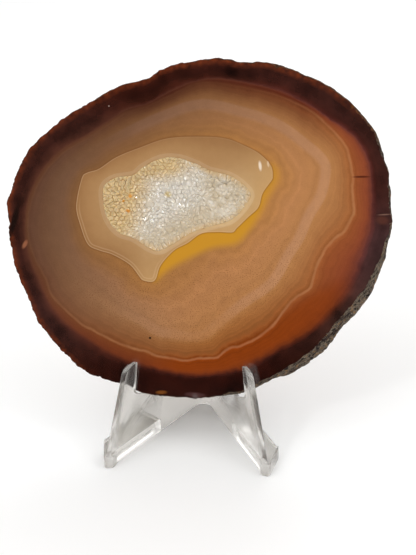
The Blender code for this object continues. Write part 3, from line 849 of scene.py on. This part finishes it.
def shape_cells(crust):
    """Vary the cells' sizes, keep those in the hollow, fit their border to it and lower its middle."""
    bpy.ops.mesh.select_all(action="SELECT")
    bpy.ops.mesh.remove_doubles(threshold=CELL_MERGE)
    shape = bmesh.from_edit_mesh(crust.data)
    wave, reach = CRYSTAL_WARP
    for vertex in shape.verts:
        place = vertex.co / wave
        vertex.co += Vector((noise.noise(place), noise.noise(place + WARP_SHIFT), 0.0)) * reach
        vertex.co += Vector((luck.uniform(-1, 1), luck.uniform(-1, 1), 0.0)) * CRYSTAL_JITTER
        vertex.co.z = 0.0
    line = closed_line(HOLLOW, BORDER_POINTS)
    middles = np.array([cell.calc_center_median()[:2] for cell in shape.faces])
    for cell, inside in zip(list(shape.faces), inside_distance(line, middles)):
        if inside < BORDER_CELLS:
            shape.faces.remove(cell)
    shared = [edge for edge in shape.edges if len(edge.link_faces) == 2]
    joined = [edge for edge in shared if luck.random() < CRYSTAL_PAIRS / 3]
    bmesh.ops.dissolve_edges(shape, edges=joined)
    for vertex in [v for v in shape.verts if not v.link_faces]:
        shape.verts.remove(vertex)
    for vertex in [v for v in shape.verts if v.is_boundary]:
        near = line[((line - np.array(vertex.co[:2])) ** 2).sum(axis=1).argmin()]
        vertex.co.x, vertex.co.y = between(np.array(vertex.co[:2]), near, BORDER_FIT)
    spots = np.array([vertex.co[:2] for vertex in shape.verts])
    for vertex, inside in zip(shape.verts, inside_distance(line, spots)):
        vertex.co.z = -crust_depth(inside) - GAP_UNEVENNESS * luck.random()
    bmesh.update_edit_mesh(crust.data)


def height_at(place):
    """How tall the crystals stand at a place: lower in the frosted right and foot of the hollow."""
    return FROST_HEIGHT if place.x > FROST_FROM or place.y < FROST_BELOW else 1.0


def raise_crystals(crust):
    """Pull every cell up into a six-sided crystal: a shoulder, drawn in a little, and a point."""
    shape = bmesh.from_edit_mesh(crust.data)
    shape.faces.layers.float.new("tone")
    shape.verts.layers.float.new("height")
    bpy.ops.mesh.inset(thickness=CRYSTAL_GAP, use_individual=True)
    shape = bmesh.from_edit_mesh(crust.data)
    height = shape.verts.layers.float["height"]
    for cell in [face for face in shape.faces if face.select]:
        middle = cell.calc_center_median()
        size = math.sqrt(cell.calc_area())
        rise = size * luck.uniform(*CRYSTAL_HEIGHTS) * height_at(middle)
        tilt = Vector((luck.uniform(-1, 1), luck.uniform(-1, 1), 0.0)) * CRYSTAL_LEAN
        for vertex in cell.verts:
            away = vertex.co - middle
            vertex.co = middle + away * luck.uniform(*CRYSTAL_WIDTHS) + Vector((0, 0, rise + away.dot(tilt)))
            vertex[height] = 0.8
    bpy.ops.mesh.poke()
    shape = bmesh.from_edit_mesh(crust.data)
    height = shape.verts.layers.float["height"]
    for vertex in shape.verts:
        if vertex.select and all(len(face.verts) == 3 for face in vertex.link_faces):
            size = min(edge.calc_length() for edge in vertex.link_edges) * 1.2
            aside = Vector((luck.uniform(-0.3, 0.3), luck.uniform(-0.3, 0.3), luck.uniform(*CRYSTAL_POINTS)))
            vertex.co += aside * size * height_at(vertex.co)
            vertex[height] = 1.0
    tone = shape.faces.layers.float["tone"]
    for facet in shape.faces:
        facet[tone] = luck.random()


def crystal_crust():
    """The crust of crystals in the slice's own plane, in millimetres, closed underneath."""
    crust = cell_patch()
    bpy.ops.object.mode_set(mode="EDIT")
    shape_cells(crust)
    bpy.ops.mesh.select_all(action="SELECT")
    bpy.ops.mesh.extrude_region_move(TRANSFORM_OT_translate={"value": (0.0, 0.0, CRUST_THICKNESS)})
    raise_crystals(crust)
    bpy.ops.mesh.select_all(action="SELECT")
    bpy.ops.transform.translate(value=(0.0, 0.0, -CRUST_THICKNESS))
    bpy.ops.mesh.normals_make_consistent(inside=False)
    bpy.ops.object.mode_set(mode="OBJECT")
    crust.data.transform(Matrix.Rotation(math.radians(90), 4, "X"))
    spots = np.array([(vertex.co.x, vertex.co.z) for vertex in crust.data.vertices])
    inside = crust.data.attributes.new("inside", "FLOAT", "POINT")
    inside.data.foreach_set("value", inside_distance(closed_line(HOLLOW, SHADE_POINTS), spots))
    return crust


FROST = seen(196, 180, 154)
MILKY = seen(212, 204, 192)
CLEAR = seen(206, 180, 134)
YELLOW_GAP = seen(184, 142, 84)
PALE_GAP = seen(198, 187, 168)
BORDER = seen(198, 170, 128)
FROST_PATCH = seen(214, 204, 188)
PAINTED_GLINT = seen(252, 250, 244)
PALE_YELLOW = seen(202, 182, 140)
ORANGE = seen(208, 146, 58)
YELLOW_LEFT = (165.0, 10.0, 18.0)
YELLOW_TOP = ((100.0, 12.0, 17.0), (180.0, -4.0, 6.0))
FROST_RIGHT = (0.0, 0.0, 6.0)
FROST_LOW = (-60.0, -8.0, -2.0)
CRYSTAL_ROUGHNESS = (0.1, 0.5)
CRYSTAL_SOFTNESS = (1.0, 0.9, 0.75)
CRYSTAL_DEPTH = 0.7
ORANGE_SPOTS = (
    ((-16.1, 51.6), (0.5, 0.5), 0), ((-17.9, 50.3), (0.35, 0.3), 20), ((-16.7, 47.8), (0.6, 0.4), -20),
)
YELLOW_SPOT = ((-6.3, 52.2), (0.9, 0.7), 0)


def quartz():
    """Small quartz crystals: milky, with yellow gaps at the left and frosted at the right, and painted glints
    on a few facets.
    """
    made, tree, shader = new_material("quartz crystals")
    place = slice_place(tree)
    right = side_of_face(tree, place, *FROST_RIGHT)
    frosted = math_of(tree, "MAXIMUM", right, side_of_face(tree, place, *FROST_LOW))
    top = product(tree, *(side_of_face(tree, place, *side) for side in YELLOW_TOP))
    yellow = math_of(tree, "MAXIMUM", side_of_face(tree, place, *YELLOW_LEFT), top)
    white = math_of(tree, "SUBTRACT", 1.0, yellow)
    tone = kept(tree, "tone")
    crystal = mix(tree, frosted, MILKY, FROST)
    crystal = mix(tree, yellow, crystal, CLEAR)
    spread = math_of(tree, "MULTIPLY_ADD", frosted, -0.18, 0.32)
    off_middle = math_of(tree, "SUBTRACT", tone, 0.5)
    crystal = scaled(tree, crystal, math_of(tree, "MULTIPLY_ADD", off_middle, spread, 0.96))
    gap = mix(tree, yellow, PALE_GAP, YELLOW_GAP)
    high = step(tree, kept(tree, "height"), -0.3, 0.7)
    crystal = mix(tree, high, gap, crystal)
    frost = step(tree, mottle(tree, place, 1.9, 2.0), 0.35, 0.8)
    crystal = mix(tree, product(tree, frost, right, 0.7), crystal, FROST_PATCH)
    fade = step(tree, kept(tree, "inside"), 1.8, 0.0)
    crystal = mix(tree, product(tree, fade, white), crystal, BORDER)
    crystal = mix(tree, spot(tree, place, *YELLOW_SPOT), crystal, PALE_YELLOW)
    for mark in ORANGE_SPOTS:
        crystal = mix(tree, spot(tree, place, *mark), crystal, ORANGE)
    # Painted glints: a few facets, picked by their tone, painted near white as if they mirrored a lamp, fewer
    # in the frosted part
    bright = product(tree, white, math_of(tree, "MULTIPLY_ADD", frosted, -0.6, 0.85))
    painted_glint = product(tree, step(tree, tone, 0.9, 0.96), bright)
    crystal = mix(tree, painted_glint, crystal, PAINTED_GLINT)
    tree.links.new(crystal, shader.inputs["Base Color"])
    clear, dull = CRYSTAL_ROUGHNESS
    rough = add_node(tree, "ShaderNodeMapRange", {"Value": frosted, "To Min": clear, "To Max": dull})
    tree.links.new(rough.outputs["Result"], shader.inputs["Roughness"])
    shader.inputs["IOR"].default_value = QUARTZ_IOR
    shader.inputs["Subsurface Weight"].default_value = 0.9
    shader.inputs["Subsurface Radius"].default_value = CRYSTAL_SOFTNESS
    shader.inputs["Subsurface Scale"].default_value = CRYSTAL_DEPTH * MM
    return made


crust = crystal_crust()
crust.data.materials.append(quartz())
lean_back(crust)
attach(crust, "root")
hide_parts("druzy_crust")

# Floor, light and camera
# A plain white table top under a white sky, soft light from panels round the stone, and a camera
# that looks down on the stone a little, from the right.
FLOOR_SIZE = 3.0
FLOOR_GAP = 0.05
FLOOR_WHITE = (0.98, 0.98, 0.975, 1.0)
LIGHT_BOUNCES = 24
SKY_LIGHT = 0.8
PANELS = (
    ("left panel", (-0.45, -0.45, 0.85), 0.5, 1.2),
    ("right panel", (0.55, -0.2, 0.75), 0.35, 0.8),
    ("rear panel", (0.15, 0.65, 0.6), 0.5, 1.45),
    ("low left panel", (-0.6, -0.45, 0.25), 0.3, 0.3),
    ("low right panel", (0.6, -0.4, 0.25), 0.3, 0.3),
    ("small bright lamp", (-0.26, -0.5, 0.5), 0.07, 0.55),
)
PANEL_AIM = (0.0, 0.0, 0.05)
bpy.ops.mesh.primitive_plane_add(size=FLOOR_SIZE, location=(0.0, 0.0, -FLOOR_GAP * MM))
bpy.ops.object.transform_apply(location=True)
floor = bpy.context.object
floor.name = "floor"
table_top, _, shader = new_material("white table top")
shader.inputs["Base Color"].default_value = FLOOR_WHITE
shader.inputs["Roughness"].default_value = 0.7
floor.data.materials.append(table_top)

scene = bpy.context.scene
scene.view_settings.view_transform = "Standard"
scene.cycles.max_bounces = LIGHT_BOUNCES
scene.cycles.glossy_bounces = LIGHT_BOUNCES
scene.cycles.transmission_bounces = LIGHT_BOUNCES
world = bpy.data.worlds.new("studio")
scene.world = world
world.use_nodes = True
sky = world.node_tree
way = add_node(sky, "ShaderNodeTexCoord").outputs["Generated"]
height = add_node(sky, "ShaderNodeSeparateXYZ", {"Vector": way}).outputs["Z"]
mirrored = add_node(sky, "ShaderNodeMapRange", {
    "Value": height, "From Min": 0.35, "From Max": 0.8, "To Min": 0.03, "To Max": 1.0})
ray = add_node(sky, "ShaderNodeLightPath").outputs
lit = math_of(sky, "MULTIPLY_ADD", ray["Is Diffuse Ray"], SKY_LIGHT - 1.0, 1.0)
bounced = math_of(sky, "SUBTRACT", ray["Is Glossy Ray"], ray["Is Transmission Ray"])
glow = add_node(sky, "ShaderNodeMix", {0: bounced, 2: lit, 3: mirrored.outputs["Result"]})
sky.links.new(glow.outputs[0], sky.nodes["Background"].inputs["Strength"])
sky.nodes["Background"].inputs["Color"].default_value = (1.0, 1.0, 1.0, 1.0)


def panel(name, place, aim, size, power):
    """A square light panel that faces a point."""
    lamp = bpy.data.lights.new(name, "AREA")
    lamp.size = size
    lamp.energy = power
    holder = bpy.data.objects.new(name, lamp)
    scene.collection.objects.link(holder)
    holder.location = place
    holder.rotation_euler = (Vector(aim) - Vector(place)).to_track_quat("-Z", "Y").to_euler()


for name, place, size, power in PANELS:
    panel(name, place, PANEL_AIM, size, power)

CAMERA_PLACE = (0.0415, -0.2649, 0.1691)
CAMERA_TURN = (65.299, 1.644, 7.444)
CAMERA_LENS = 74.53
SENSOR_WIDTH = 36.0
NEAREST_SEEN = 0.01
camera = bpy.data.objects.new("camera", bpy.data.cameras.new("camera"))
scene.collection.objects.link(camera)
camera.location = CAMERA_PLACE
camera.rotation_euler = [math.radians(a) for a in CAMERA_TURN]
camera.data.lens = CAMERA_LENS
camera.data.sensor_width = SENSOR_WIDTH
camera.data.clip_start = NEAREST_SEEN
scene.camera = camera
